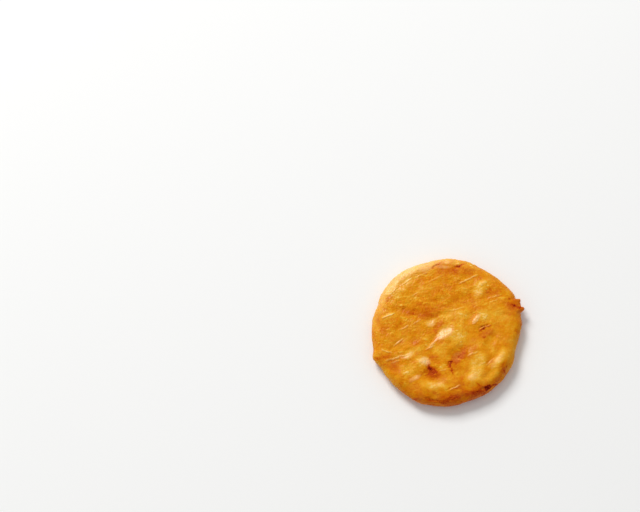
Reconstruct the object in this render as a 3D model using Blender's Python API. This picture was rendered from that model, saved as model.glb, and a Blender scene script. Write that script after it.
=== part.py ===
"""A round brown rice cracker with a soy glaze, lying flat on its baked underside.

The cracker is one puffed disc. X runs to its right, Y away from the viewer and Z up, and the
origin is on the table, under the middle of the cracker. All lengths are in metres.
"""

from collections import namedtuple

import bmesh
import bpy
import numpy as np
from mathutils import Vector, noise

MM = 0.001

# The whole disc
MEAN_RADIUS = 24.5 * MM
OVALITY = 0.55 * MM  # how much more it reaches in Y than the mean, and less in X
FACE_HEIGHT = 5.4 * MM  # the top face, before it puffs
WAIST_HEIGHT = 2.7 * MM  # where the edge reaches furthest out
SHOULDER = 3.6 * MM  # how far in from the edge the top starts to round over
FOOT = 2.6 * MM  # how far in from the edge the underside starts to round up
CROWN = 0.35 * MM  # how much the middle of the top stands above its margin

# Unevenness that is too small to place by hand
LUMP_SIZE = 4.5 * MM
LUMP_RISE = 0.18 * MM
RIPPLE_SIZE = 1.9 * MM
RIPPLE_RISE = 0.09 * MM
EDGE_LUMP_SIZE = 3.0 * MM
EDGE_LUMP_RISE = 0.18 * MM
WANDER_SIZE = 5.0 * MM
WANDER = 1.0 * MM  # how far noise shifts the outlines of puffs, hollows and folds
FRAY_SIZE = 1.1 * MM
FRAY = 0.5 * MM  # how far finer noise shifts the lips of the splits as well

# The starting sphere and the solid that is kept
SPHERE_DIVISIONS = 7
SPHERE_TRIANGLES = 81920
KEPT_TRIANGLES = 11000
SECTION_STEPS = 60

# A place on the edge that stands out or falls back: where it is and how wide, in degrees
EdgeBump = namedtuple("EdgeBump", "angle spread reach")
EDGE_BUMPS = {
    "lower left corner": EdgeBump(201.5, 5.0, 1.05 * MM),
    "left dip": EdgeBump(159.0, 6.0, -0.4 * MM),
    "upper left swell": EdgeBump(136.0, 22.0, 0.3 * MM),
    "top dip": EdgeBump(104.0, 14.0, -0.6 * MM),
    "upper right flat": EdgeBump(64.0, 12.0, -0.35 * MM),
    "upper right swell": EdgeBump(30.0, 12.0, 0.95 * MM),
    "crumb's shoulder": EdgeBump(28.0, 4.0, 0.3 * MM),
    "crumb's foot": EdgeBump(14.0, 3.0, 0.6 * MM),
    "right swell": EdgeBump(7.0, 5.0, 0.75 * MM),
    "right flat": EdgeBump(346.5, 9.0, -0.8 * MM),
    "lower right flat": EdgeBump(308.0, 24.0, -0.3 * MM),
    "low dip": EdgeBump(286.0, 9.0, -0.5 * MM),
    "lower left swell": EdgeBump(251.0, 8.0, 0.35 * MM),
}

# The torn crumb on the right of the edge: a ledge of crust with a corner at each end
Crumb = namedtuple("Crumb", "angle spread reach height depth")
CRUMBS = {
    "ledge": Crumb(20.1, 5.7, 1.50 * MM, 3.9 * MM, 1.5 * MM),
    "near corner": Crumb(16.2, 2.3, 0.70 * MM, 3.7 * MM, 1.1 * MM),
    "far corner": Crumb(23.6, 1.6, 0.30 * MM, 4.1 * MM, 1.1 * MM),
}
CRUMB_STEEPNESS = 3.0  # how much steeper the ends of the crumb are than an even slope

# A puff stands up and a hollow sinks: its middle, its half length and half width, the way
# its length turns from X in degrees, and its rise
Swelling = namedtuple("Swelling", "x y half_length half_width turn rise")
PUFFS = {
    "middle ridge": Swelling(1.4, -4.8, 7.2, 4.4, 60, 0.34),
    "middle shelf": Swelling(4.2, 0.6, 4.6, 3.4, 30, 0.20),
    "low left": Swelling(-8.0, -12.1, 4.6, 3.6, 110, 0.34),
    "far low left": Swelling(-13.0, -16.1, 4.0, 3.0, 30, 0.25),
    "low right": Swelling(9.2, -15.9, 5.8, 3.4, 25, 0.36),
    "low middle": Swelling(1.2, -18.3, 4.6, 3.2, 0, 0.30),
    "low margin": Swelling(-5.4, -19.5, 4.6, 2.6, -15, 0.25),
    "right": Swelling(10.6, 3.1, 4.8, 3.8, 60, 0.32),
    "right middle": Swelling(10.6, -9.6, 4.8, 4.0, 90, 0.32),
    "right margin": Swelling(17.6, -10.9, 6.2, 2.9, 56, 0.32),
    "far right": Swelling(16.8, 7.7, 5.2, 3.4, -10, 0.20),
    "top right": Swelling(11.6, 14.0, 4.0, 3.2, 60, 0.25),
    "top middle": Swelling(-4.4, 13.1, 5.6, 3.8, -30, 0.24),
    "top left": Swelling(-14.8, 11.3, 5.4, 4.2, -30, 0.28),
    "left": Swelling(-18.0, 2.7, 4.4, 3.6, 100, 0.24),
}
HOLLOWS = {
    "middle valley": Swelling(-3.6, 1.6, 5.2, 2.6, 50, -0.34),
    "small left pool": Swelling(-8.4, 4.9, 4.6, 2.8, -20, -0.24),
    "upper pool": Swelling(5.4, 9.1, 6.4, 3.6, 15, -0.30),
    "low pool": Swelling(3.8, -7.9, 4.4, 2.6, 55, -0.30),
    "right valley": Swelling(14.4, -4.7, 5.0, 2.4, 62, -0.28),
    "left valley": Swelling(-14.0, -5.1, 6.4, 2.4, 22, -0.26),
    "burnt pool": Swelling(-4.4, -15.2, 3.4, 2.4, 20, -0.26),
    "lower left pool": Swelling(-16.0, -11.7, 3.6, 2.8, 30, -0.25),
    "top pool": Swelling(7.6, 17.2, 5.0, 2.8, 30, -0.20),
}

# A fold is a slope with a dip beyond it and a crest before it, measured as a swelling is
FOLDS = {
    "middle": Swelling(-1.4, -2.4, 4.2, 1.40, 41, 0.28),
    "middle's tail": Swelling(-4.8, -5.2, 3.2, 0.50, 49, 0.14),
    "small left": Swelling(-5.2, 2.1, 2.6, 1.00, 30, 0.20),
    "right": Swelling(8.8, 3.3, 2.8, 1.10, 52, 0.22),
    "low left": Swelling(-7.4, -11.2, 2.6, 1.10, -25, 0.22),
    "far left": Swelling(-12.6, -8.9, 3.6, 0.80, 25, 0.15),
    "right margin": Swelling(16.1, -10.0, 4.2, 1.40, 56, 0.15),
    "low right": Swelling(7.3, -16.6, 2.8, 1.20, 35, 0.17),
    "far low left": Swelling(-10.4, -16.6, 2.6, 0.90, 30, 0.16),
    "low middle": Swelling(-4.0, -18.1, 4.4, 1.20, 5, 0.13),
    "top right": Swelling(9.6, 12.2, 2.6, 1.30, 40, 0.12),
    "top far right": Swelling(11.5, 15.2, 1.6, 0.70, 40, 0.12),
    "left": Swelling(-19.5, 4.2, 2.8, 0.60, 28, 0.12),
    "low far right": Swelling(14.2, -15.6, 3.0, 0.90, 40, 0.16),
    "upper middle": Swelling(1.6, 4.4, 4.8, 1.10, 18, 0.12),
    "upper left": Swelling(-12.5, 15.5, 5.0, 1.30, 35, 0.14),
}

# A split is a narrow tear in the crust, measured as a swelling is
SPLITS = {
    "burnt tear": Swelling(-5.9, -12.6, 2.4, 0.55, 98, -0.18),
    "burnt tear's foot": Swelling(-4.9, -14.2, 1.8, 0.60, 125, -0.12),
    "right tear": Swelling(11.9, 0.5, 2.4, 0.42, 25, -0.30),
    "star tear": Swelling(0.7, -11.7, 1.6, 0.40, 58, -0.24),
    "star's foot": Swelling(1.2, -13.0, 1.4, 0.36, -55, -0.20),
    "charred tear": Swelling(12.4, -19.5, 1.6, 0.60, 24, -0.30),
    "top left tear": Swelling(-2.4, 21.3, 2.2, 0.45, 28, -0.22),
    "top tear": Swelling(3.4, 21.6, 2.2, 0.45, 16, -0.22),
    "side tear": Swelling(-19.2, 9.6, 1.2, 0.40, 100, -0.20),
    "low tear": Swelling(2.2, -19.8, 2.6, 0.40, 22, -0.22),
    "bottom tear": Swelling(-4.5, -23.2, 4.0, 0.50, -4, -0.24),
}

# The underside is drier, and only shallow dents break its flat
DENT_SPACING = 9.0 * MM
DENT_DEPTH = 0.5 * MM
DENT_SHARE = 0.12  # unevenness weaker than this leaves the flat whole
DENT_STEEPNESS = 2.0  # how soon a dent reaches its depth


def ease(share):
    """A smooth step from 0 to 1 over shares from 0 to 1."""
    share = np.clip(share, 0.0, 1.0)
    return share * share * (3.0 - 2.0 * share)


def unevenness(points, size, shift=0.0):
    """Smooth noise between about -1 and 1 at each point, with lumps of that size."""
    moved = Vector((shift, 2.0 * shift, -shift))
    return np.array([noise.noise(Vector(point) / size + moved) for point in points])


def half_section():
    """The disc cut through its middle, from the top's centre round the edge to the underside's."""
    steps = np.linspace(0.0, 1.0, SECTION_STEPS)
    quarter = steps * np.pi / 2
    parts = (
        (steps * (MEAN_RADIUS - SHOULDER), np.full_like(steps, FACE_HEIGHT)),
        (
            MEAN_RADIUS - SHOULDER * (1.0 - np.sin(quarter)),
            WAIST_HEIGHT + (FACE_HEIGHT - WAIST_HEIGHT) * np.cos(quarter),
        ),
        (MEAN_RADIUS - FOOT * (1.0 - np.cos(quarter)), WAIST_HEIGHT * (1.0 - np.sin(quarter))),
        ((1.0 - steps) * (MEAN_RADIUS - FOOT), np.zeros_like(steps)),
    )
    return np.concatenate([r for r, _ in parts]), np.concatenate([z for _, z in parts])


def on_the_disc(directions):
    """Radius and height on the half section for points of a sphere, so that areas stay even."""
    radius, height = half_section()
    length = np.hypot(np.diff(radius), np.diff(height))
    area = np.concatenate([[0.0], np.cumsum(length * (radius[1:] + radius[:-1]))])
    share = (1.0 - directions[:, 2]) / 2.0
    return np.interp(share, area / area[-1], radius), np.interp(share, area / area[-1], height)


def degrees_apart(angle, middle):
    """How far each angle, in radians, is from the middle, in degrees."""
    return (np.degrees(angle) - middle + 180.0) % 360.0 - 180.0


def edge_reach(angle):
    """How much further out than the mean radius the edge lies in each direction."""
    reach = -OVALITY * np.cos(2.0 * angle)
    for bump in EDGE_BUMPS.values():
        reach += bump.reach * np.exp(-((degrees_apart(angle, bump.angle) / bump.spread) ** 2))
    return reach


def crumb_reach(angle, height):
    """The torn crumb on the edge: a ledge with steep ends and two corners, short in height."""
    reach = np.zeros_like(angle)
    for crumb in CRUMBS.values():
        along = np.abs(degrees_apart(angle, crumb.angle)) / crumb.spread
        upward = (height - crumb.height) / crumb.depth
        reach += crumb.reach * ease(CRUMB_STEEPNESS * (1.0 - along)) * np.exp(-(upward**2))
    return reach


def shares_out(x, y, swelling):
    """How far each point is out along a swelling and across it, as shares of its half sizes."""
    turn = np.radians(swelling.turn)
    right, away = x - swelling.x * MM, y - swelling.y * MM
    along = (right * np.cos(turn) + away * np.sin(turn)) / (swelling.half_length * MM)
    across = (away * np.cos(turn) - right * np.sin(turn)) / (swelling.half_width * MM)
    return along, across


def swelling_rise(x, y, swelling):
    """The rise of one puff, hollow or split: full in its middle, and level at its rim."""
    along, across = shares_out(x, y, swelling)
    return swelling.rise * MM * ease(1.0 - along**2 - across**2)


def fold_rise(x, y, fold):
    """The rise of one fold: a crest at its half width on one side, and a dip on the other."""
    along, across = shares_out(x, y, fold)
    return -fold.rise * MM * across * np.exp((1.0 - across**2) / 2) * ease(1.0 - along**2)


def top_relief(x, y, points):
    """Everything that makes the top uneven, from the crown down to the ripples."""
    rise = CROWN * (1.0 - (x**2 + y**2) / MEAN_RADIUS**2)
    x = x + WANDER * unevenness(points, WANDER_SIZE, shift=17.0)
    y = y + WANDER * unevenness(points, WANDER_SIZE, shift=23.0)
    for swelling in (*PUFFS.values(), *HOLLOWS.values()):
        rise += swelling_rise(x, y, swelling)
    for fold in FOLDS.values():
        rise += fold_rise(x, y, fold)
    rise += LUMP_RISE * unevenness(points, LUMP_SIZE)
    rise += RIPPLE_RISE * unevenness(points, RIPPLE_SIZE, shift=7.0)
    x = x + FRAY * unevenness(points, FRAY_SIZE, shift=61.0)
    y = y + FRAY * unevenness(points, FRAY_SIZE, shift=67.0)
    for split in SPLITS.values():
        rise += swelling_rise(x, y, split)
    return rise


def cracker_points(directions):
    """Moves the points of a unit sphere to the surface of the cracker."""
    radius, height = on_the_disc(directions)
    angle = np.arctan2(directions[:, 1], directions[:, 0])
    outward = ease(radius / MEAN_RADIUS)
    edge = ease((radius - MEAN_RADIUS + SHOULDER) / SHOULDER)
    spots = np.column_stack([np.cos(angle) * radius, np.sin(angle) * radius, height])
    reach = outward * edge_reach(angle) + edge * crumb_reach(angle, height)
    reach += edge * EDGE_LUMP_RISE * unevenness(spots, EDGE_LUMP_SIZE, shift=3.0)
    x, y = np.cos(angle) * (radius + reach), np.sin(angle) * (radius + reach)
    on_top = ease((height - WAIST_HEIGHT) / (FACE_HEIGHT - WAIST_HEIGHT))
    below = ease((WAIST_HEIGHT - height) / WAIST_HEIGHT)
    dent = unevenness(spots, DENT_SPACING, shift=11.0) - DENT_SHARE
    z = height + on_top * top_relief(x, y, spots)
    z += below * DENT_DEPTH * ease(DENT_STEEPNESS * dent) * ease((MEAN_RADIUS - radius) / FOOT)
    return np.column_stack([x, y, z])


def crust_material():
    """Toasted rice crust under a thin coat of soy glaze."""
    material = bpy.data.materials.new("glazed rice crust")
    material.use_nodes = True
    crust = material.node_tree.nodes["Principled BSDF"]
    crust.inputs["Base Color"].default_value = (0.68, 0.26, 0.03, 1.0)
    crust.inputs["Roughness"].default_value = 0.42
    crust.inputs["Metallic"].default_value = 0.0
    return material


def rice_cracker():
    """The baked disc as one solid: an even sphere, shaped and then thinned to its forms."""
    shape = bmesh.new()
    bmesh.ops.create_icosphere(shape, subdivisions=SPHERE_DIVISIONS, radius=1.0)
    points = cracker_points(np.array([vertex.co for vertex in shape.verts]))
    points[:, :2] -= (points.min(axis=0) + points.max(axis=0))[:2] / 2
    for vertex, point in zip(shape.verts, points):
        vertex.co = point
    mesh = bpy.data.meshes.new("rice_cracker")
    shape.to_mesh(mesh)
    shape.free()
    mesh.shade_smooth()
    mesh.materials.append(crust_material())
    cracker = bpy.data.objects.new("rice_cracker", mesh)
    bpy.context.collection.objects.link(cracker)
    thinning = cracker.modifiers.new("fewer faces on the even parts", "DECIMATE")
    thinning.ratio = KEPT_TRIANGLES / SPHERE_TRIANGLES
    return cracker


def main():
    for left_over in list(bpy.data.objects):
        bpy.data.objects.remove(left_over)
    rice_cracker()


main()
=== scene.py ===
"""A round brown rice cracker with a soy glaze, lying on its baked underside on a pale table.

It is one piece of puffed rice dough, so the sections follow the baker's work: the stamped round,
its puffing in the oven, the places where the crust tore, the dried skin, and the browning and
glaze. Lengths are in metres unless a comment says millimetres, and angles are given in degrees.
"""

import math
from collections import namedtuple

import bmesh
import bpy
import numpy as np
from mathutils import Matrix, Vector, noise


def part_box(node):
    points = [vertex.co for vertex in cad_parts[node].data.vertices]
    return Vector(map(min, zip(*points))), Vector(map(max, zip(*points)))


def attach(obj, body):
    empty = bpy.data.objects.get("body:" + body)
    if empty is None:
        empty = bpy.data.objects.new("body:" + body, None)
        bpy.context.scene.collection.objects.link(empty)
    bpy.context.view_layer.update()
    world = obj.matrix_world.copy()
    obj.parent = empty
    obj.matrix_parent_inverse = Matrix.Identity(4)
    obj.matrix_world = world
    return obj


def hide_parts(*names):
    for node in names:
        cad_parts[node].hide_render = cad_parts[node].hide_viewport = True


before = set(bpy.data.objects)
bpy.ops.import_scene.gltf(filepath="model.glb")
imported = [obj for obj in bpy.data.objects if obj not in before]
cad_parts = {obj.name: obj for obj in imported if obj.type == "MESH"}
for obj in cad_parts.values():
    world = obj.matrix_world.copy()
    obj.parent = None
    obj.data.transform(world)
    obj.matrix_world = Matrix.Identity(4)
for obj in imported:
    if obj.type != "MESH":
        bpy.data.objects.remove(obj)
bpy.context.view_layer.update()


# The round of dough
# Brown rice is steamed, pounded to a dough, rolled out and stamped into rounds. A round shrinks
# and pulls as it dries, so its edge swells and dips, and it bakes flat on its underside.
MM = 0.001
MEAN_RADIUS = 24.5 * MM
OVALITY = 0.55 * MM
FACE_HEIGHT = 5.4 * MM
WAIST_HEIGHT = 2.7 * MM
SHOULDER = 3.6 * MM
FOOT = 2.6 * MM
SECTION_STEPS = 60
EDGE_LUMP_SIZE = 3.0 * MM
EDGE_LUMP_RISE = 0.18 * MM
CRUMB_STEEPNESS = 3.0

EdgeBump = namedtuple("EdgeBump", "angle spread reach")
EDGE_BUMPS = {
    "lower left corner": EdgeBump(201.5, 5.0, 1.05 * MM),
    "left dip": EdgeBump(159.0, 6.0, -0.4 * MM),
    "upper left swell": EdgeBump(136.0, 22.0, 0.3 * MM),
    "top dip": EdgeBump(104.0, 14.0, -0.6 * MM),
    "upper right flat": EdgeBump(64.0, 12.0, -0.35 * MM),
    "upper right swell": EdgeBump(30.0, 12.0, 0.95 * MM),
    "crumb's shoulder": EdgeBump(28.0, 4.0, 0.3 * MM),
    "crumb's foot": EdgeBump(14.0, 3.0, 0.6 * MM),
    "right swell": EdgeBump(7.0, 5.0, 0.75 * MM),
    "right flat": EdgeBump(346.5, 9.0, -0.8 * MM),
    "lower right flat": EdgeBump(308.0, 24.0, -0.3 * MM),
    "low dip": EdgeBump(286.0, 9.0, -0.5 * MM),
    "lower left swell": EdgeBump(251.0, 8.0, 0.35 * MM),
}

Crumb = namedtuple("Crumb", "angle spread reach height depth")
CRUMBS = {
    "ledge": Crumb(20.1, 5.7, 1.50 * MM, 3.9 * MM, 1.5 * MM),
    "near corner": Crumb(16.2, 2.3, 0.70 * MM, 3.7 * MM, 1.1 * MM),
    "far corner": Crumb(23.6, 1.6, 0.30 * MM, 4.1 * MM, 1.1 * MM),
}


def ease(share):
    """A smooth step from 0 to 1 over shares from 0 to 1."""
    share = np.clip(share, 0.0, 1.0)
    return share * share * (3.0 - 2.0 * share)


def above_waist(height):
    """0 up to the waist, rising smoothly to 1 at the face."""
    return ease((height - WAIST_HEIGHT) / (FACE_HEIGHT - WAIST_HEIGHT))


def below_waist(height):
    """0 down to the waist, rising smoothly to 1 at the table."""
    return ease((WAIST_HEIGHT - height) / WAIST_HEIGHT)


def towards_edge(radius, margin, width):
    """0 until that margin inside the mean radius, rising smoothly to 1 over the width."""
    return ease((radius - MEAN_RADIUS + margin) / width)


def unevenness(points, size, shift=0.0):
    """Smooth noise between about -1 and 1 at each point, with lumps of that size.

    Each shift takes another part of the same endless noise.
    """
    moved = Vector((shift, 2.0 * shift, -shift))
    return np.array([noise.noise(Vector(point) / size + moved) for point in points])


def half_section():
    """The round cut through its middle, from the top's centre to the underside's."""
    steps = np.linspace(0.0, 1.0, SECTION_STEPS)
    quarter = steps * np.pi / 2
    parts = (
        (steps * (MEAN_RADIUS - SHOULDER), np.full_like(steps, FACE_HEIGHT)),
        (
            MEAN_RADIUS - SHOULDER * (1.0 - np.sin(quarter)),
            WAIST_HEIGHT + (FACE_HEIGHT - WAIST_HEIGHT) * np.cos(quarter),
        ),
        (MEAN_RADIUS - FOOT * (1.0 - np.cos(quarter)), WAIST_HEIGHT * (1.0 - np.sin(quarter))),
        ((1.0 - steps) * (MEAN_RADIUS - FOOT), np.zeros_like(steps)),
    )
    return np.concatenate([r for r, _ in parts]), np.concatenate([z for _, z in parts])


def on_the_round(directions, underside_share):
    """Radius and height on the half section for points of a sphere.

    Areas stay even, except that the flat underside gets only its share of the points.
    """
    radius, height = half_section()
    length = np.hypot(np.diff(radius), np.diff(height))
    flat = (height[1:] + height[:-1]) == 0.0
    area = length * (radius[1:] + radius[:-1]) * np.where(flat, underside_share, 1.0)
    area = np.concatenate([[0.0], np.cumsum(area)])
    share = (1.0 - directions[:, 2]) / 2.0
    return np.interp(share, area / area[-1], radius), np.interp(share, area / area[-1], height)


def degrees_apart(angle, middle):
    """How far each angle, in radians, is from the middle, in degrees."""
    return (np.degrees(angle) - middle + 180.0) % 360.0 - 180.0


def towards(angle, middle, spread):
    """1 in the middle direction, falling to about a third one spread away, and on to 0."""
    return np.exp(-((degrees_apart(angle, middle) / spread) ** 2))


def edge_reach(angle):
    """How much further out than the mean radius the edge lies in each direction."""
    reach = -OVALITY * np.cos(2.0 * angle)
    for bump in EDGE_BUMPS.values():
        reach += bump.reach * towards(angle, bump.angle, bump.spread)
    return reach


def crumb_reach(angle, height):
    """The torn crumb on the edge: a ledge with steep ends and two corners, short in height."""
    reach = np.zeros_like(angle)
    for crumb in CRUMBS.values():
        along = np.abs(degrees_apart(angle, crumb.angle)) / crumb.spread
        upward = (height - crumb.height) / crumb.depth
        reach += crumb.reach * ease(CRUMB_STEEPNESS * (1.0 - along)) * np.exp(-(upward**2))
    return reach


# The puffing
# In the oven the last water in the dough turns to steam, lifts the crust into puffs and leaves
# hollows between them. They are measured in millimetres, with the turn of their length in degrees.
CROWN = 0.35 * MM
LUMP_SIZE = 4.5 * MM
LUMP_RISE = 0.18 * MM
RIPPLE_SIZE = 1.9 * MM
RIPPLE_RISE = 0.09 * MM
WANDER_SIZE = 5.0 * MM
WANDER = 1.0 * MM

Swelling = namedtuple("Swelling", "x y half_length half_width turn rise")
PUFFS = {
    "middle ridge": Swelling(1.4, -4.8, 7.2, 4.4, 60, 0.34),
    "middle shelf": Swelling(4.2, 0.6, 4.6, 3.4, 30, 0.20),
    "low left": Swelling(-8.0, -12.1, 4.6, 3.6, 110, 0.34),
    "far low left": Swelling(-13.0, -16.1, 4.0, 3.0, 30, 0.25),
    "low right": Swelling(9.2, -15.9, 5.8, 3.4, 25, 0.36),
    "low middle": Swelling(1.2, -18.3, 4.6, 3.2, 0, 0.30),
    "low margin": Swelling(-5.4, -19.5, 4.6, 2.6, -15, 0.25),
    "right": Swelling(10.6, 3.1, 4.8, 3.8, 60, 0.32),
    "right middle": Swelling(10.6, -9.6, 4.8, 4.0, 90, 0.32),
    "right margin": Swelling(17.6, -10.9, 6.2, 2.9, 56, 0.32),
    "far right": Swelling(16.8, 7.7, 5.2, 3.4, -10, 0.20),
    "top right": Swelling(11.6, 14.0, 4.0, 3.2, 60, 0.25),
    "top middle": Swelling(-4.4, 13.1, 5.6, 3.8, -30, 0.24),
    "top left": Swelling(-14.8, 11.3, 5.4, 4.2, -30, 0.28),
    "left": Swelling(-18.0, 2.7, 4.4, 3.6, 100, 0.24),
}
HOLLOWS = {
    "middle valley": Swelling(-3.6, 1.6, 5.2, 2.6, 50, -0.34),
    "small left pool": Swelling(-8.4, 4.9, 4.6, 2.8, -20, -0.24),
    "upper pool": Swelling(5.4, 9.1, 6.4, 3.6, 15, -0.30),
    "low pool": Swelling(3.8, -7.9, 4.4, 2.6, 55, -0.30),
    "right valley": Swelling(14.4, -4.7, 5.0, 2.4, 62, -0.28),
    "left valley": Swelling(-14.0, -5.1, 6.4, 2.4, 22, -0.26),
    "burnt pool": Swelling(-4.4, -15.2, 3.4, 2.4, 20, -0.26),
    "lower left pool": Swelling(-16.0, -11.7, 3.6, 2.8, 30, -0.25),
    "top pool": Swelling(7.6, 17.2, 5.0, 2.8, 30, -0.20),
}

# A fold is a slope with a dip above it and a crest below it
FOLDS = {
    "middle": Swelling(-1.4, -2.4, 4.2, 1.40, 41, 0.28),
    "middle's tail": Swelling(-4.8, -5.2, 3.2, 0.50, 49, 0.14),
    "small left": Swelling(-5.2, 2.1, 2.6, 1.00, 30, 0.20),
    "right": Swelling(8.8, 3.3, 2.8, 1.10, 52, 0.22),
    "low left": Swelling(-7.4, -11.2, 2.6, 1.10, -25, 0.22),
    "far left": Swelling(-12.6, -8.9, 3.6, 0.80, 25, 0.15),
    "right margin": Swelling(16.1, -10.0, 4.2, 1.40, 56, 0.15),
    "low right": Swelling(7.3, -16.6, 2.8, 1.20, 35, 0.17),
    "far low left": Swelling(-10.4, -16.6, 2.6, 0.90, 30, 0.16),
    "low middle": Swelling(-4.0, -18.1, 4.4, 1.20, 5, 0.13),
    "top right": Swelling(9.6, 12.2, 2.6, 1.30, 40, 0.12),
    "top far right": Swelling(11.5, 15.2, 1.6, 0.70, 40, 0.12),
    "left": Swelling(-19.5, 4.2, 2.8, 0.60, 28, 0.12),
    "low far right": Swelling(14.2, -15.6, 3.0, 0.90, 40, 0.16),
    "upper middle": Swelling(1.6, 4.4, 4.8, 1.10, 18, 0.12),
    "upper left": Swelling(-12.5, 15.5, 5.0, 1.30, 35, 0.14),
}


def along_and_across(x, y, place):
    """How far out from the middle of a place, in its half lengths and its half widths."""
    turn = np.radians(place.turn)
    right, away = x - place.x * MM, y - place.y * MM
    along = (right * np.cos(turn) + away * np.sin(turn)) / (place.half_length * MM)
    across = (away * np.cos(turn) - right * np.sin(turn)) / (place.half_width * MM)
    return along, across


def inside(x, y, place):
    """1 in the middle of a swelling or a patch, falling smoothly to 0 at its rim."""
    along, across = along_and_across(x, y, place)
    return ease(1.0 - along**2 - across**2)


def fold_rise(x, y, fold):
    """A slope that faces away from the table's front, its dip beyond it and its crest before it."""
    along, across = along_and_across(x, y, fold)
    return -fold.rise * MM * across * np.exp((1.0 - across**2) / 2) * ease(1.0 - along**2)


def wandering(x, y, points):
    """The same places, shifted a little by noise so that no outline drawn on them is smooth."""
    x = x + WANDER * unevenness(points, WANDER_SIZE, shift=17.0)
    y = y + WANDER * unevenness(points, WANDER_SIZE, shift=23.0)
    return x, y


# The tears
# Where a puff lifted too fast the crust tore open. A tear is narrow, a little deep and ragged,
# and its lips burn first. Tears are measured in millimetres, as the puffs are.
SPLITS = {
    "burnt tear": Swelling(-5.9, -12.6, 2.4, 0.55, 98, -0.18),
    "burnt tear's foot": Swelling(-4.9, -14.2, 1.8, 0.60, 125, -0.12),
    "right tear": Swelling(11.9, 0.5, 2.4, 0.42, 25, -0.30),
    "star tear": Swelling(0.7, -11.7, 1.6, 0.40, 58, -0.24),
    "star's foot": Swelling(1.2, -13.0, 1.4, 0.36, -55, -0.20),
    "charred tear": Swelling(12.4, -19.5, 1.6, 0.60, 24, -0.30),
    "top left tear": Swelling(-2.4, 21.3, 2.2, 0.45, 28, -0.22),
    "top tear": Swelling(3.4, 21.6, 2.2, 0.45, 16, -0.22),
    "side tear": Swelling(-19.2, 9.6, 1.2, 0.40, 100, -0.20),
    "low tear": Swelling(2.2, -19.8, 2.6, 0.40, 22, -0.22),
    "bottom tear": Swelling(-4.5, -23.2, 4.0, 0.50, -4, -0.24),
}
FRAY_SIZE = 1.1 * MM
FRAY = 0.5 * MM

# Slivers of skin dried and lifted along the grain: their ends in millimetres, and their rise
Sliver = namedtuple("Sliver", "x y end_x end_y rise")
SLIVERS = (
    Sliver(3.4, 15.4, 9.8, 18.7, 0.22),
    Sliver(12.6, 10.4, 17.0, 11.7, 0.11),
    Sliver(1.0, 6.2, 5.2, 7.5, 0.10),
    Sliver(-17.6, -5.8, -14.4, -3.3, 0.19),
    Sliver(-20.2, -10.7, -12.6, -8.6, 0.19),
    Sliver(-18.4, -11.4, -15.4, -10.4, 0.13),
    Sliver(-21.4, -7.2, -18.0, -7.9, 0.18),
    Sliver(0.4, -20.4, 3.9, -18.8, 0.18),
    Sliver(6.0, -9.2, 9.8, -7.6, 0.13),
    Sliver(-21.3, 3.6, -16.9, 5.5, 0.21),
    Sliver(9.9, -0.1, 13.8, 1.5, 0.16),
    Sliver(-15.4, -0.3, -12.6, 1.1, 0.12),
    Sliver(-11.4, 1.6, -8.6, 3.2, 0.11),
    Sliver(13.4, 9.1, 16.2, 10.0, 0.08),
    Sliver(-6.6, 15.9, -1.6, 18.4, 0.08),
    Sliver(-10.6, 17.4, -6.4, 19.6, 0.10),
    Sliver(-15.6, 14.6, -11.8, 17.4, 0.12),
    Sliver(-18.6, 11.8, -16.0, 14.6, 0.11),
    Sliver(-12.0, 11.0, -9.4, 12.6, 0.08),
    Sliver(-2.8, -13.9, -0.3, -13.6, 0.09),
    Sliver(-7.2, -7.0, -4.4, -5.6, 0.11),
    Sliver(12.0, -12.2, 14.6, -9.8, 0.10),
)
SLIVER_HALF_WIDTH = 0.28 * MM


def ragged(x, y, points):
    """Places shifted more finely too, as the lips of a tear and the rim of a burn are."""
    x = x + FRAY * unevenness(points, FRAY_SIZE, shift=61.0)
    y = y + FRAY * unevenness(points, FRAY_SIZE, shift=67.0)
    return x, y


def sliver_crests(x, y, points):
    """How far each point lies up a sliver: its rise in metres on the crest, and 0 beside it."""
    frayed_x, frayed_y = ragged(x, y, points)
    x, y = (x + frayed_x) / 2, (y + frayed_y) / 2
    crest = np.zeros_like(x)
    for sliver in SLIVERS:
        start = np.array((sliver.x, sliver.y)) * MM
        run = np.array((sliver.end_x, sliver.end_y)) * MM - start
        length = np.linalg.norm(run)
        right, away = x - start[0], y - start[1]
        along = (right * run[0] + away * run[1]) / length**2
        across = (away * run[0] - right * run[1]) / (length * SLIVER_HALF_WIDTH)
        taper = np.clip(4.0 * along * (1.0 - along), 0.0, 1.0) ** 0.5
        crest = np.maximum(crest, sliver.rise * MM * taper * ease(1.0 - across**2))
    return crest


def top_relief(x, y, points):
    """Everything that makes the top uneven, from the crown down to the ripples."""
    rise = CROWN * (1.0 - (x**2 + y**2) / MEAN_RADIUS**2)
    x, y = wandering(x, y, points)
    for swelling in (*PUFFS.values(), *HOLLOWS.values()):
        rise += swelling.rise * MM * inside(x, y, swelling)
    for fold in FOLDS.values():
        rise += fold_rise(x, y, fold)
    rise += LUMP_RISE * unevenness(points, LUMP_SIZE)
    rise += RIPPLE_RISE * unevenness(points, RIPPLE_SIZE, shift=7.0)
    x, y = ragged(x, y, points)
    for split in SPLITS.values():
        rise += split.rise * MM * inside(x, y, split)
    return rise


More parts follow.
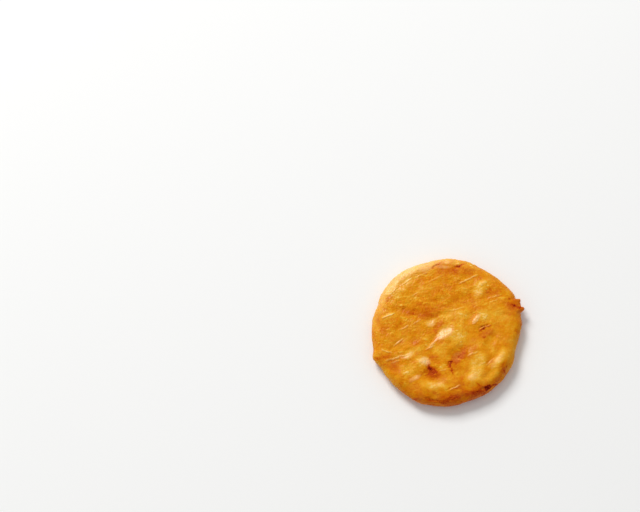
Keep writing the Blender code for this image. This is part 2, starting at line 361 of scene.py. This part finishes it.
# The skin
# The surface dries before the middle does. It draws into fine creases that mostly run one way,
# the way the dough was rolled, and it blisters and pits between them.
GRAIN_TURN = 27.0
CREASE_LENGTH = 3.6 * MM
CREASE_WIDTH = 1.3 * MM
CREASE_RISE = 0.11 * MM
CREASE_CREST = 0.22
CREASE_SHARPNESS = 1.5
CREASE_BEND = 0.9
CREASE_BEND_SIZE = 3.5 * MM
CREASED_SHARE = 0.2
CREASED_CONTRAST = 1.8
CREASED_SIZE = 2.8 * MM
BLISTER_SPACING = 1.5 * MM
BLISTER_REACH = 0.62
BLISTER_RISE = 0.13 * MM
PORE_SPACING = 1.7 * MM
PORE_REACH = 0.20
PORE_DEPTH = 0.08 * MM
DOME_VARIETY = 3.7
WRINKLE_SIZE = 1.2 * MM
WRINKLE_WIDTH = 0.16
WRINKLE_DEPTH = 0.10 * MM
GRIT_SIZE = 0.50 * MM
GRIT_RISE = 0.10 * MM
DRYNESS = 0.60
DRY_SIDE = (-0.6, 0.8)
DRY_SIDE_GAIN = 0.3
DRY_CONTRAST = 0.6
DRY_SIZE = 5.5 * MM
LEAST_DRY = 0.25
WALL_ROUGHENING = 0.6


def along_the_grain(points):
    """The points with the way the dough was rolled turned onto X."""
    turn = math.radians(GRAIN_TURN)
    return points @ np.array(Matrix.Rotation(turn, 3, "Z"))


def creases(points):
    """1 on the crest of a crease and 0 between creases, in short broken runs."""
    grain = along_the_grain(points)
    bend = unevenness(points, CREASE_BEND_SIZE, shift=31.0)
    stretched = np.column_stack([
        grain[:, 0] / CREASE_LENGTH,
        grain[:, 1] / CREASE_WIDTH + CREASE_BEND * bend,
        grain[:, 2] / CREASE_WIDTH,
    ])
    lines = 1.0 - np.abs(unevenness(stretched, 1.0, shift=5.0)) / CREASE_CREST
    creased = unevenness(points, CREASED_SIZE, shift=41.0)
    runs = ease(CREASED_SHARE + CREASED_CONTRAST * creased)
    return np.clip(lines, 0.0, 1.0) ** CREASE_SHARPNESS * runs


def domes(points, spacing, reach, shift):
    """Round domes that far apart, of uneven height, each as wide as its reach times the spacing."""
    rise = []
    moved = Vector((shift, -shift, shift))
    for point in points:
        away, middles = noise.voronoi(Vector(point) / spacing + moved)
        strength = (1.0 + noise.noise(middles[0] * DOME_VARIETY)) / 2
        rise.append(max(0.0, 1.0 - (away[0] / reach) ** 2) * strength)
    return np.array(rise)


def wrinkles(points):
    """1 along the bottom of a wrinkle, falling to 0 on the small pillows between wrinkles."""
    pillows = np.abs(unevenness(points, WRINKLE_SIZE, shift=13.0))
    return np.clip(1.0 - pillows / WRINKLE_WIDTH, 0.0, 1.0)


def dryness(points):
    """How coarsely the skin has dried: most at the upper left, and least at the lower right."""
    slant = points[:, :2] @ np.array(DRY_SIDE) / MEAN_RADIUS
    dry = DRYNESS + DRY_SIDE_GAIN * slant
    dry += DRY_CONTRAST * unevenness(points, DRY_SIZE, shift=71.0)
    return np.clip(dry, LEAST_DRY, 1.0)


def skin_relief(points):
    """The rise of the skin above the puffed form, along the way that the surface faces."""
    coarse = dryness(points)
    rise = CREASE_RISE * creases(points) * coarse
    rise += BLISTER_RISE * domes(points, BLISTER_SPACING, BLISTER_REACH, shift=3.0) * coarse
    rise -= WRINKLE_DEPTH * wrinkles(points) * coarse
    rise += GRIT_RISE * unevenness(points, GRIT_SIZE, shift=2.0) * coarse
    rise -= PORE_DEPTH * domes(points, PORE_SPACING, PORE_REACH, shift=9.0)
    rise += sliver_crests(points[:, 0], points[:, 1], points)
    return rise


# The browning, and the light and shade painted into it
# The crust toasts to gold, browner round the front of the rim and paler where a thin blister
# lifted off, and torn lips char. Light and shade are painted into the colour as well: darker in
# the hollows and just in front of each sliver, paler on the rises and the sliver crests, much
# paler on the rim's upper left, which faces the lamp, and pinkish pale, partly dry flakes and
# partly painted highlights, on slopes that face the lamp. Patches are measured in millimetres,
# as the puffs are.
Patch = namedtuple("Patch", "x y half_length half_width turn strength")
# Darker patches: toasted brown round tears, lips and the corner, and painted shade in the hollows,
# the low pool and below the right tear
DEEPER_AND_SHADED = (
    Patch(-2.6, 1.0, 3.6, 2.0, 60, 0.22),
    Patch(-8.5, 6.3, 9.0, 3.2, -10, 0.17),
    Patch(13.8, 12.4, 3.0, 2.6, 0, 0.14),
    Patch(2.0, 19.8, 8.0, 2.2, 5, 0.14),
    Patch(-3.0, 11.2, 4.0, 3.0, 0, 0.10),
    Patch(3.6, -8.7, 4.6, 2.6, 48, 0.28),
    Patch(-5.0, -14.9, 3.4, 2.2, 0, 0.24),
    Patch(-4.6, -9.6, 2.2, 2.2, 0, 0.20),
    Patch(11.8, -1.4, 3.6, 1.7, 25, 0.17),
    Patch(1.2, -12.4, 2.2, 2.6, 20, 0.14),
    Patch(1.8, 21.0, 2.6, 1.0, 20, 0.14),
    Patch(-1.6, 22.0, 3.0, 1.2, 20, 0.14),
    Patch(-17.5, -14.2, 5.0, 2.4, -45, 0.14),
    Patch(-22.0, -9.9, 3.8, 1.3, 5, 0.30),
    Patch(20.6, 7.8, 4.2, 1.9, -5, 0.14),
    Patch(22.6, 1.0, 1.8, 4.4, 0, 0.16),
    Patch(18.2, -13.6, 4.4, 2.8, 60, 0.16),
    Patch(9.4, -20.2, 5.2, 2.2, 15, 0.18),
    Patch(0.6, -21.0, 6.6, 2.2, 2, 0.16),
    Patch(-19.2, 10.3, 1.8, 1.8, 0, 0.16),
)
# Paler patches: yellow blisters, and painted highlights on the folds' slopes that face the lamp
PALER_AND_HIGHLIGHTED = (
    Patch(3.2, -1.8, 4.4, 3.2, 80, 0.22),
    Patch(8.8, -11.8, 5.4, 3.2, 70, 0.28),
    Patch(16.7, -9.6, 4.8, 1.8, 60, 0.28),
    Patch(12.5, 4.8, 4.6, 3.2, 20, 0.24),
    Patch(5.6, 5.2, 3.6, 1.8, 15, 0.14),
    Patch(10.0, 13.6, 3.6, 3.0, 0, 0.24),
    Patch(-12.3, -13.6, 3.2, 2.8, 0, 0.20),
    Patch(-4.0, -19.2, 6.0, 2.2, -8, 0.22),
    Patch(-7.8, -10.8, 3.4, 2.0, -25, 0.24),
    Patch(-11.0, -7.6, 6.0, 1.7, 25, 0.17),
    Patch(7.6, -16.2, 3.4, 2.4, 20, 0.22),
    Patch(1.0, 4.7, 6.0, 2.2, 15, 0.20),
    Patch(14.5, -14.8, 3.2, 1.8, 40, 0.20),
    Patch(-19.5, 4.2, 3.2, 1.4, 30, 0.22),
    Patch(-5.3, 2.1, 2.8, 2.0, 20, 0.20),
    Patch(-1.2, -0.8, 3.6, 1.8, 45, 0.24),
    Patch(11.3, 15.8, 1.8, 1.4, 0, 0.20),
    Patch(-3.6, -7.4, 3.4, 1.8, 30, 0.14),
    Patch(16.4, 3.4, 3.6, 2.0, 20, 0.12),
    Patch(-15.6, 14.6, 10.0, 3.8, 47, 0.22),
)
BURNS = (
    Patch(-6.2, -12.1, 2.5, 0.8, 95, 0.80),
    Patch(-5.0, -13.8, 2.0, 1.0, 150, 0.38),
    Patch(11.8, 0.6, 3.0, 0.75, 25, 0.85),
    Patch(0.6, -11.5, 2.2, 0.6, 62, 0.66),
    Patch(1.1, -13.6, 2.2, 0.6, -62, 0.60),
    Patch(0.0, -11.4, 1.5, 0.5, 10, 0.55),
    Patch(12.6, -19.2, 1.5, 1.0, 35, 1.05),
    Patch(9.6, -21.0, 2.8, 1.0, 15, 0.22),
    Patch(14.8, -18.3, 1.6, 0.5, 20, 0.60),
    Patch(9.6, -18.0, 1.2, 0.5, -30, 0.45),
    Patch(3.4, 21.9, 2.0, 0.65, 15, 0.90),
    Patch(5.4, 22.3, 1.6, 0.6, 15, 0.55),
    Patch(-2.2, 22.4, 2.6, 0.7, 30, 0.50),
    Patch(-4.6, 21.0, 1.2, 0.5, 30, 0.40),
    Patch(-19.6, 10.2, 0.5, 0.9, 0, 0.45),
    Patch(-17.0, 9.9, 0.4, 0.5, 0, 0.35),
    Patch(-14.4, 8.4, 0.5, 0.5, 0, 0.50),
    Patch(19.6, 10.4, 0.8, 0.8, 0, 0.50),
    Patch(22.4, 8.2, 1.6, 0.5, -10, 0.55),
    Patch(24.0, 9.0, 0.5, 1.2, 0, 0.40),
    Patch(25.2, 7.4, 1.0, 1.5, 0, 0.45),
    Patch(18.0, -14.0, 0.7, 0.8, 0, 0.45),
    Patch(18.6, -12.4, 0.5, 0.5, 0, 0.35),
    Patch(-4.5, -23.4, 4.0, 0.7, -4, 0.35),
    Patch(-11.0, -22.8, 1.7, 0.6, 0, 0.35),
    Patch(0.0, -23.2, 3.2, 0.6, 15, 0.30),
    Patch(-15.0, -18.0, 1.2, 0.6, 0, 0.40),
    Patch(2.2, -19.8, 2.6, 0.5, 22, 0.25),
    Patch(22.9, 2.2, 0.6, 1.5, 0, 0.35),
    Patch(21.5, -0.2, 0.7, 0.8, 0, 0.30),
    Patch(11.6, -2.4, 0.5, 0.5, 0, 0.35),
    Patch(-22.4, -9.6, 2.2, 0.6, -10, 0.36),
    Patch(-20.6, -11.6, 1.8, 0.5, -35, 0.40),
)
# The rim's tone round the edge: browner at the front, the lower left and by the crumb; paler at the
# left; paler on the right, a painted light; and much paler at the upper left, which faces the lamp,
# also painted light
EdgeTone = namedtuple("EdgeTone", "angle spread strength")
EDGE_TOAST_AND_LIGHT = (
    EdgeTone(284.0, 32.0, 0.24),
    EdgeTone(246.0, 14.0, 0.10),
    EdgeTone(218.0, 14.0, -0.14),
    EdgeTone(344.0, 24.0, -0.12),
    EdgeTone(18.0, 12.0, 0.15),
    EdgeTone(122.0, 44.0, -0.34),
)
# Pinkish pale patches: painted highlights on slopes that face the lamp, with thin dry flakes, and a
# painted reflection on the low pool
FLAKED_AND_HIGHLIGHTED = (
    Patch(-0.9, -1.7, 3.4, 2.0, 41, 0.75),
    Patch(-4.8, -5.0, 3.0, 0.5, 49, 0.55),
    Patch(-5.3, 2.0, 2.4, 1.4, 20, 0.50),
    Patch(8.9, 3.5, 2.6, 1.2, 55, 0.80),
    Patch(-7.2, -11.2, 2.4, 1.6, -40, 1.10),
    Patch(3.4, -8.7, 3.2, 1.8, 48, 0.18),
    Patch(-12.6, -8.8, 3.2, 0.9, 25, 0.50),
    Patch(16.4, -9.6, 3.4, 1.2, 56, 0.25),
    Patch(14.8, -12.4, 1.6, 0.9, 50, 0.35),
    Patch(7.4, -16.2, 2.4, 1.5, 35, 0.35),
    Patch(-10.4, -16.6, 2.4, 1.0, 30, 0.50),
    Patch(-3.8, -18.2, 3.0, 1.1, 5, 0.20),
    Patch(9.8, 12.6, 1.8, 1.3, 30, 0.20),
    Patch(11.4, 15.4, 1.2, 0.8, 40, 0.35),
    Patch(-1.0, 21.3, 2.4, 0.7, 10, 0.40),
    Patch(0.0, 23.2, 0.9, 0.9, 0, 0.50),
    Patch(-7.4, 21.0, 3.2, 1.6, 20, 0.40),
)
TOAST = 0.46
TOAST_CONTRAST = 0.12
TOAST_SIZE = 3.2 * MM
MOST_PALE = 0.25
SIDE_WIDTH = 0.7 * SHOULDER
UNDERSIDE_TOAST = 0.12
# How far in front of a sliver its painted shadow lies
SLIVER_SHADOW_REACH = 0.40 * MM
# The rim's upper left, which faces the lamp, painted pale: a painted light
LIT_RIM_ANGLE = 124.0
LIT_RIM_SPREAD = 34.0
LIT_RIM_WIDTH = 4.2 * MM
MOST_FLAKE_AND_HIGHLIGHT = 1.25
BURN_FOOT = 0.5 * WAIST_HEIGHT
MOST_BURNT = 1.2

# These four are for each millimetre of the form's or a sliver's rise. They paint light and shade
# into the colour: paler on rises and darker in hollows, paler on sliver crests, and darker just in
# front of each sliver.
RISE_LIGHT = 0.1
PALE_AND_LIT_CREST = 1.3
SLIVER_SHADOW = 0.7
CREST_FLAKE_AND_HIGHLIGHT = 2.2


def toasting_and_lighting(x, y, radius, height, rise, points):
    """How far the crust is toasted at each point, from 0 for pale gold to 1 for red-brown.

    Painted light and shade are mixed in: paler on rises and on a sliver's crest, darker in
    hollows and just in front of a sliver, a painted shadow.
    """
    angle = np.arctan2(y, x)
    # Paler on the rises and darker in the hollows: painted light and shade
    toast_and_lighting = np.full_like(x, TOAST) - RISE_LIGHT * rise / MM
    # Darker just in front of each sliver: a painted shadow
    toast_and_lighting += SLIVER_SHADOW * sliver_crests(x, y + SLIVER_SHADOW_REACH, points) / MM
    # Paler on each sliver's crest: pale skin and a painted highlight
    toast_and_lighting -= PALE_AND_LIT_CREST * sliver_crests(x, y, points) / MM
    x, y = wandering(x, y, points)
    on_top = above_waist(height)
    # Darker patches: toasting, and painted shade in hollows
    for patch in DEEPER_AND_SHADED:
        toast_and_lighting += on_top * patch.strength * inside(x, y, patch)
    # Paler patches: yellow blisters and painted highlights
    pale_and_lit = sum(patch.strength * inside(x, y, patch) for patch in PALER_AND_HIGHLIGHTED)
    toast_and_lighting -= on_top * np.minimum(pale_and_lit, MOST_PALE)
    side = towards_edge(radius, SHOULDER, SIDE_WIDTH)
    # The rim's tone by direction, with painted light on the right and at the upper left
    for brown in EDGE_TOAST_AND_LIGHT:
        toast_and_lighting += side * brown.strength * towards(angle, brown.angle, brown.spread)
    toast_and_lighting += UNDERSIDE_TOAST * below_waist(height)
    toast_and_lighting += TOAST_CONTRAST * unevenness(points, TOAST_SIZE, shift=51.0)
    return toast_and_lighting


def flaking_and_highlights(x, y, radius, height, points):
    """How pale and pinkish the skin is at each point, from 0 for none: thin dry flakes, and painted
    highlights on the far rim's upper left, on sliver crests and on slopes that face the lamp.
    """
    angle = np.arctan2(y, x)
    # The rim's upper left, which faces the lamp: painted light
    rim = towards_edge(radius, LIT_RIM_WIDTH, LIT_RIM_WIDTH) * ease(height / WAIST_HEIGHT)
    flake_and_highlight = MOST_FLAKE_AND_HIGHLIGHT * rim * towards(angle, LIT_RIM_ANGLE, LIT_RIM_SPREAD)
    # Sliver crests pinkish pale: pale skin and a painted highlight
    flake_and_highlight += CREST_FLAKE_AND_HIGHLIGHT * sliver_crests(x, y, points) / MM
    x, y = wandering(x, y, points)
    # Patches of flakes and painted highlights on the slopes that face the lamp
    for patch in FLAKED_AND_HIGHLIGHTED:
        flake_and_highlight += patch.strength * inside(x, y, patch)
    return np.clip(flake_and_highlight, 0.0, MOST_FLAKE_AND_HIGHLIGHT)


def burning(x, y, height, points):
    """How burnt the crust is at each point: 0 for none and 1 for a dark red lip."""
    x, y = wandering(x, y, points)
    x, y = ragged(x, y, points)
    burnt = np.zeros_like(x)
    for patch in BURNS:
        burnt += patch.strength * inside(x, y, patch)
    return np.clip(burnt * ease((height - BURN_FOOT) / WAIST_HEIGHT), 0.0, MOST_BURNT)


# The glaze
# Soy glaze is brushed on thinly, so it shines only where it pooled on the smooth slopes of the
# puffs. Elsewhere the crust is satin.
GLAZED = (
    Patch(-1.0, -1.6, 4.4, 1.8, 41, 0.60),
    Patch(-4.8, -4.8, 2.8, 0.7, 49, 0.60),
    Patch(-5.3, 2.1, 2.1, 1.4, 20, 0.70),
    Patch(8.8, 3.2, 2.4, 1.2, 55, 0.80),
    Patch(3.4, -8.9, 4.4, 3.0, 48, -0.60),
    Patch(-5.2, -14.4, 3.0, 2.6, 0, -0.60),
    Patch(-7.4, -11.1, 2.4, 1.4, -25, 0.90),
    Patch(-12.6, -8.8, 3.0, 0.8, 25, 0.45),
    Patch(16.4, -9.5, 3.2, 1.2, 56, 0.20),
    Patch(7.3, -16.4, 2.2, 1.3, 25, 0.45),
    Patch(-10.5, -16.6, 2.0, 1.0, 30, 0.30),
    Patch(-3.6, -18.2, 3.4, 1.1, 5, 0.15),
    Patch(9.6, 12.4, 1.8, 1.1, 30, 0.15),
    Patch(11.5, 15.4, 1.4, 0.8, 40, 0.30),
    Patch(-19.4, 4.2, 2.4, 0.8, 30, 0.40),
    Patch(-15.4, 15.2, 9.0, 3.4, 47, 0.35),
)
GLAZE = 0.06
GLAZE_CONTRAST = 0.25
GLAZE_SIZE = 2.6 * MM
GLAZE_SOAKED = 2.0
GRAIN_STRENGTH = 0.5
GRAIN_DEPTH = 0.18 * MM
FLAKE_AND_HIGHLIGHT_COVER = 0.65
# The pinkish pale of dry flakes and of painted highlights
FLAKE_AND_HIGHLIGHT_COLOUR = (250, 203, 140)

# This too is for each millimetre of a sliver's rise
GLAZED_CREST = 2.5

# The crust's colours as it toasts, from pale gold to a charred lip
SHADES = (
    (0.00, (244, 198, 104)),
    (0.20, (231, 167, 40)),
    (0.42, (222, 142, 10)),
    (0.60, (211, 116, 2)),
    (0.78, (192, 80, 3)),
    (0.90, (172, 52, 3)),
    (1.00, (118, 16, 2)),
)


def glazing(x, y, burnt, points):
    """How thick the glaze lies at each point, from 0 to 1. Burnt lips soak it up."""
    glaze = np.full_like(x, GLAZE)
    glaze += GLAZE_CONTRAST * unevenness(points, GLAZE_SIZE, shift=81.0)
    glaze += GLAZED_CREST * sliver_crests(x, y, points) / MM
    x, y = wandering(x, y, points)
    for patch in GLAZED:
        glaze += patch.strength * inside(x, y, patch)
    return np.clip(glaze, 0.0, 1.0) * np.clip(1.0 - GLAZE_SOAKED * burnt, 0.0, 1.0)


def screen_colour(red, green, blue):
    """A colour as a screen shows it, from 0 to 255, as the linear colour that a shader takes."""
    shown = np.array((red, green, blue)) / 255.0
    linear = np.where(shown <= 0.04045, shown / 12.92, ((shown + 0.055) / 1.055) ** 2.4)
    return (*linear, 1.0)


def glazed_crust():
    """Toasted rice crust: gold to red-brown by its browning and the light and shade painted into
    it, speckled, and thinly glazed.
    """
    material = bpy.data.materials.new("glazed rice crust")
    material.use_nodes = True
    nodes, links = material.node_tree.nodes, material.node_tree.links
    crust = nodes["Principled BSDF"]

    def node(kind, **settings):
        made = nodes.new(kind)
        for name, value in settings.items():
            setattr(made, name, value)
        return made

    def maths(operation, first, second, third=None):
        made = node("ShaderNodeMath", operation=operation)
        for socket, value in zip(made.inputs, (first, second, third)):
            if isinstance(value, (int, float)):
                socket.default_value = value
            elif value is not None:
                links.new(value, socket)
        return made.outputs[0]

    def mottle(to_a_metre, detail, stretch=(1.0, 1.0, 1.0), turn=0.0, distortion=0.0):
        """Noise from 0 to 1 with so many lumps to a metre, stretched and turned on the top."""
        place = node("ShaderNodeMapping")
        place.inputs["Rotation"].default_value[2] = math.radians(turn)
        place.inputs["Scale"].default_value = stretch
        links.new(coordinates, place.inputs["Vector"])
        lumps = node("ShaderNodeTexNoise")
        lumps.inputs["Scale"].default_value = to_a_metre
        lumps.inputs["Detail"].default_value = detail
        lumps.inputs["Distortion"].default_value = distortion
        links.new(place.outputs[0], lumps.inputs["Vector"])
        return lumps.outputs["Fac"]

    def between(value, low, high):
        """0 below low, 1 above high, and a straight ramp between them; high may be the lower."""
        made = node("ShaderNodeMapRange")
        links.new(value, made.inputs["Value"])
        made.inputs["From Min"].default_value = low
        made.inputs["From Max"].default_value = high
        return made.outputs["Result"]

    def hairlines(pattern, half_width):
        """1 on the level lines in the middle of a noise pattern, and 0 away from them."""
        off_middle = maths("ABSOLUTE", maths("SUBTRACT", pattern, 0.5), 0.0)
        return between(off_middle, half_width, 0.0)

    def value_of(name):
        """The value that the cracker's mesh holds under that name."""
        return node("ShaderNodeAttribute", attribute_name=name).outputs["Fac"]

    def with_added(value, amounts):
        """The value with each pattern added to it in its amount, which may be negative."""
        for pattern, amount in amounts:
            value = maths("MULTIPLY_ADD", pattern, amount, value)
        return value

    # The patterns in the crust, some of them drawn out along the grain
    coordinates = node("ShaderNodeTexCoord").outputs["Object"]
    blotches = mottle(420.0, 3.0)
    streaks = mottle(900.0, 2.0, stretch=(0.3, 1.0, 1.0), turn=-GRAIN_TURN)
    flecks = mottle(2600.0, 2.0)
    # Pale flecks along the grain where the skin is dry: flakes, and painted glints of the lamp on
    # the glaze
    flakes_and_glints = between(mottle(1150.0, 2.0, stretch=(0.45, 1.0, 1.0), turn=-GRAIN_TURN), 0.58, 0.70)
    flakes_and_glints = maths("MULTIPLY", flakes_and_glints, value_of("dry"))
    veins = hairlines(mottle(520.0, 2.0, distortion=0.6), 0.022)
    veins = maths("MULTIPLY", veins, between(mottle(300.0, 1.0), 0.48, 0.62))
    threads = hairlines(mottle(760.0, 1.0, stretch=(0.35, 1.0, 1.0), turn=-GRAIN_TURN), 0.025)
    threads = maths("MULTIPLY", threads, between(mottle(340.0, 1.0, turn=50.0), 0.50, 0.64))
    charring = maths("MULTIPLY", value_of("burn"), between(flecks, 0.15, 0.55))

    # How far it is toasted, with painted shade along the wrinkles and painted light on the crease
    # crests
    toast_and_lighting = with_added(value_of("toast_and_lighting"), (
        (maths("SUBTRACT", blotches, 0.5), 0.40),
        (maths("SUBTRACT", streaks, 0.5), 0.26),
        (maths("SUBTRACT", flecks, 0.5), 0.26),
        (veins, 0.12),
        (threads, -0.10),
        # Paler on crease crests, darker along wrinkle bottoms: painted light and shade of the fine
        # relief
        (value_of("crease"), -0.10),
        (value_of("wrinkle"), 0.08),
        (flakes_and_glints, -0.30),
        (charring, 0.55),
    ))

    # Its colour, pinkish pale where flakes and painted highlights cover crust that isn't burnt
    ramp = node("ShaderNodeValToRGB")
    while len(ramp.color_ramp.elements) < len(SHADES):
        ramp.color_ramp.elements.new(1.0)
    for element, (position, colour) in zip(ramp.color_ramp.elements, SHADES):
        element.position = position
        element.color = screen_colour(*colour)
    links.new(toast_and_lighting, ramp.inputs["Fac"])
    # Pinkish pale mixed in where flakes and painted highlights lie
    cover = maths("MULTIPLY", between(toast_and_lighting, 0.85, 0.60), FLAKE_AND_HIGHLIGHT_COVER)
    flaked_and_lit = maths("MULTIPLY", value_of("flake_and_highlight"), between(streaks, 0.15, 0.55))
    coloured = node("ShaderNodeMixRGB", use_clamp=True)
    links.new(maths("MULTIPLY", flaked_and_lit, cover), coloured.inputs["Fac"])
    links.new(ramp.outputs["Color"], coloured.inputs["Color1"])
    coloured.inputs["Color2"].default_value = screen_colour(*FLAKE_AND_HIGHLIGHT_COLOUR)
    links.new(coloured.outputs["Color"], crust.inputs["Base Color"])

    # Its sheen: satin, duller where it is charred, and shiny under the glaze
    roughness = maths("MULTIPLY_ADD", mottle(260.0, 2.0), -0.20, 0.55)
    roughness = maths("MULTIPLY_ADD", charring, 0.20, roughness)
    links.new(roughness, crust.inputs["Roughness"])
    links.new(value_of("glaze"), crust.inputs["Coat Weight"])
    for name, value in (
        ("Coat Roughness", 0.30),
        ("Specular IOR Level", 0.12),
        ("Specular Tint", (1.0, 0.72, 0.35, 1.0)),
        ("Subsurface Weight", 0.25),
        ("Subsurface Radius", (1.0, 0.45, 0.1)),
        ("Subsurface Scale", 0.6 * MM),
        ("Metallic", 0.0),
    ):
        crust.inputs[name].default_value = value

    # Its fine grain
    fine = with_added(maths("MULTIPLY", flecks, 0.7), (
        (streaks, 0.8),
        (threads, 0.5),
        (flakes_and_glints, 0.8),
    ))
    grain = node("ShaderNodeBump")
    grain.inputs["Strength"].default_value = GRAIN_STRENGTH
    grain.inputs["Distance"].default_value = GRAIN_DEPTH
    links.new(fine, grain.inputs["Height"])
    links.new(grain.outputs["Normal"], crust.inputs["Normal"])
    return material


# The baked cracker
# The form, skin, browning and painted light and shade above, laid on one closed skin of small
# quads that starts as a cube, is rounded to a sphere and then drawn flat. It stands for the
# plain solid.
QUADS_ON_A_SIDE = 126
UNDERSIDE_SHARE = 0.35
DENT_SPACING = 9.0 * MM
DENT_DEPTH = 0.5 * MM
DENT_START = 0.12
DENT_STEEPNESS = 2.0

shape = bmesh.new()
bmesh.ops.create_cube(shape, size=2.0)
bmesh.ops.subdivide_edges(
    shape, edges=shape.edges[:], cuts=QUADS_ON_A_SIDE - 1, use_grid_fill=True
)
corners = np.array([vertex.co for vertex in shape.verts])
directions = np.tan(corners * np.pi / 4)
directions /= np.linalg.norm(directions, axis=1)[:, None]
directions = directions @ np.array(Matrix.Rotation(math.radians(-GRAIN_TURN), 3, "Z"))

radius, height = on_the_round(directions, UNDERSIDE_SHARE)
angle = np.arctan2(directions[:, 1], directions[:, 0])
spots = np.column_stack([np.cos(angle) * radius, np.sin(angle) * radius, height])
outward = ease(radius / MEAN_RADIUS)
edge = towards_edge(radius, SHOULDER, SHOULDER)
reach = outward * edge_reach(angle) + edge * crumb_reach(angle, height)
reach += edge * EDGE_LUMP_RISE * unevenness(spots, EDGE_LUMP_SIZE, shift=3.0)
x, y = np.cos(angle) * (radius + reach), np.sin(angle) * (radius + reach)
on_top, below = above_waist(height), below_waist(height)
rise = on_top * top_relief(x, y, spots)
dent = ease(DENT_STEEPNESS * (unevenness(spots, DENT_SPACING, shift=11.0) - DENT_START))
hollow = below * DENT_DEPTH * dent * ease((MEAN_RADIUS - radius) / FOOT)
z = height + rise + hollow

low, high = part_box("rice_cracker")
x += (low[0] + high[0] - x.min() - x.max()) / 2
y += (low[1] + high[1] - y.min() - y.max()) / 2

steep = np.sqrt(np.clip(1.0 - on_top, 0.0, 1.0)) * (1.0 - below)
skin = skin_relief(np.column_stack([x, y, z])) * (1.0 + WALL_ROUGHENING * steep)
x += np.cos(angle) * steep * skin
y += np.sin(angle) * steep * skin
z = np.maximum(z + skin * on_top, 0.0)

for vertex, point in zip(shape.verts, np.column_stack([x, y, z])):
    vertex.co = point
mesh = bpy.data.meshes.new("baked_cracker")
shape.to_mesh(mesh)
shape.free()
mesh.shade_smooth()
places = np.column_stack([x, y, z])
burnt = burning(x, y, height, places)
for name, values in (
    # Toast, with painted light and shade mixed in
    ("toast_and_lighting", toasting_and_lighting(x, y, radius, height, rise, places)),
    ("burn", burnt),
    ("crease", creases(places)),
    ("wrinkle", wrinkles(places)),
    ("dry", dryness(places)),
    # Flakes and painted highlights
    ("flake_and_highlight", flaking_and_highlights(x, y, radius, height, places)),
    ("glaze", glazing(x, y, burnt, places)),
):
    mesh.attributes.new(name, "FLOAT", "POINT").data.foreach_set("value", values)
mesh.materials.append(glazed_crust())
cracker = bpy.data.objects.new("baked_cracker", mesh)
bpy.context.collection.objects.link(cracker)
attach(cracker, "root")
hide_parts("rice_cracker")


# The table
# A wide pale sheet, as in a product picture.
TABLE_SIZE = 4.0
PAPER_COLOUR = (0.9, 0.9, 0.89, 1.0)
PAPER_ROUGHNESS = 0.9

board = bmesh.new()
bmesh.ops.create_grid(board, x_segments=1, y_segments=1, size=TABLE_SIZE / 2)
mesh = bpy.data.meshes.new("table")
board.to_mesh(mesh)
board.free()
paper = bpy.data.materials.new("pale paper")
paper.use_nodes = True
surface = paper.node_tree.nodes["Principled BSDF"]
surface.inputs["Base Color"].default_value = PAPER_COLOUR
surface.inputs["Roughness"].default_value = PAPER_ROUGHNESS
mesh.materials.append(paper)
table = bpy.data.objects.new("table", mesh)
bpy.context.collection.objects.link(table)


# The light
# One large soft lamp beyond the cracker's upper left, and an even pale sky. The sky looks white
# behind the table but lights the cracker only softly.
WAIST = Vector((0.0, 0.0, WAIST_HEIGHT))
LAMP_SIDE = 0.60
LAMP_DISTANCE = 1.50
LAMP_POWER = 17.0
LAMP_DIRECTION = Vector((-0.38, 0.62, 0.69)).normalized()
SKY = 0.50
BACKDROP = 0.95

softbox = bpy.data.lights.new("softbox", "AREA")
softbox.size = LAMP_SIDE
softbox.energy = LAMP_POWER
lamp = bpy.data.objects.new("softbox", softbox)
bpy.context.collection.objects.link(lamp)
lamp.location = WAIST + LAMP_DIRECTION * LAMP_DISTANCE
lamp.rotation_mode = "QUATERNION"
lamp.rotation_quaternion = (-LAMP_DIRECTION).to_track_quat("-Z", "Y")

world = bpy.data.worlds.new("studio")
world.use_nodes = True
sky = world.node_tree.nodes["Background"]
sky.inputs["Color"].default_value = (1.0, 1.0, 1.0, 1.0)
seen = world.node_tree.nodes.new("ShaderNodeLightPath").outputs["Is Camera Ray"]
strength = world.node_tree.nodes.new("ShaderNodeMapRange")
strength.inputs["To Min"].default_value = SKY
strength.inputs["To Max"].default_value = BACKDROP
world.node_tree.links.new(seen, strength.inputs["Value"])
world.node_tree.links.new(strength.outputs["Result"], sky.inputs["Strength"])
bpy.context.scene.world = world
bpy.context.scene.view_settings.view_transform = "Standard"


# The camera
# It looks down on the cracker from the front. The cracker lies right of and below the middle of
# the picture, so the camera is turned towards the middle and not shifted.
PICTURE_WIDTH, PICTURE_HEIGHT = 640, 512
CRACKER_PIXEL = (448.1, 331.7)
PIXELS_PER_MM = 3.083
ELEVATION = math.radians(72.0)
LENS = 100.0
SENSOR = 36.0

lens_pixels = LENS / SENSOR * PICTURE_WIDTH
distance = lens_pixels / PIXELS_PER_MM * MM
back = Vector((0.0, -math.cos(ELEVATION), math.sin(ELEVATION)))
right = (CRACKER_PIXEL[0] - PICTURE_WIDTH / 2) / lens_pixels
down = (CRACKER_PIXEL[1] - PICTURE_HEIGHT / 2) / lens_pixels
turned = Vector((right, -down, -1.0)).rotation_difference(Vector((0.0, 0.0, -1.0)))
facing = (-back).to_track_quat("-Z", "Y") @ turned

view = bpy.data.cameras.new("camera")
view.lens = LENS
view.sensor_width = SENSOR
camera = bpy.data.objects.new("camera", view)
bpy.context.collection.objects.link(camera)
camera.matrix_world = Matrix.Translation(WAIST + back * distance) @ facing.to_matrix().to_4x4()
bpy.context.scene.camera = camera
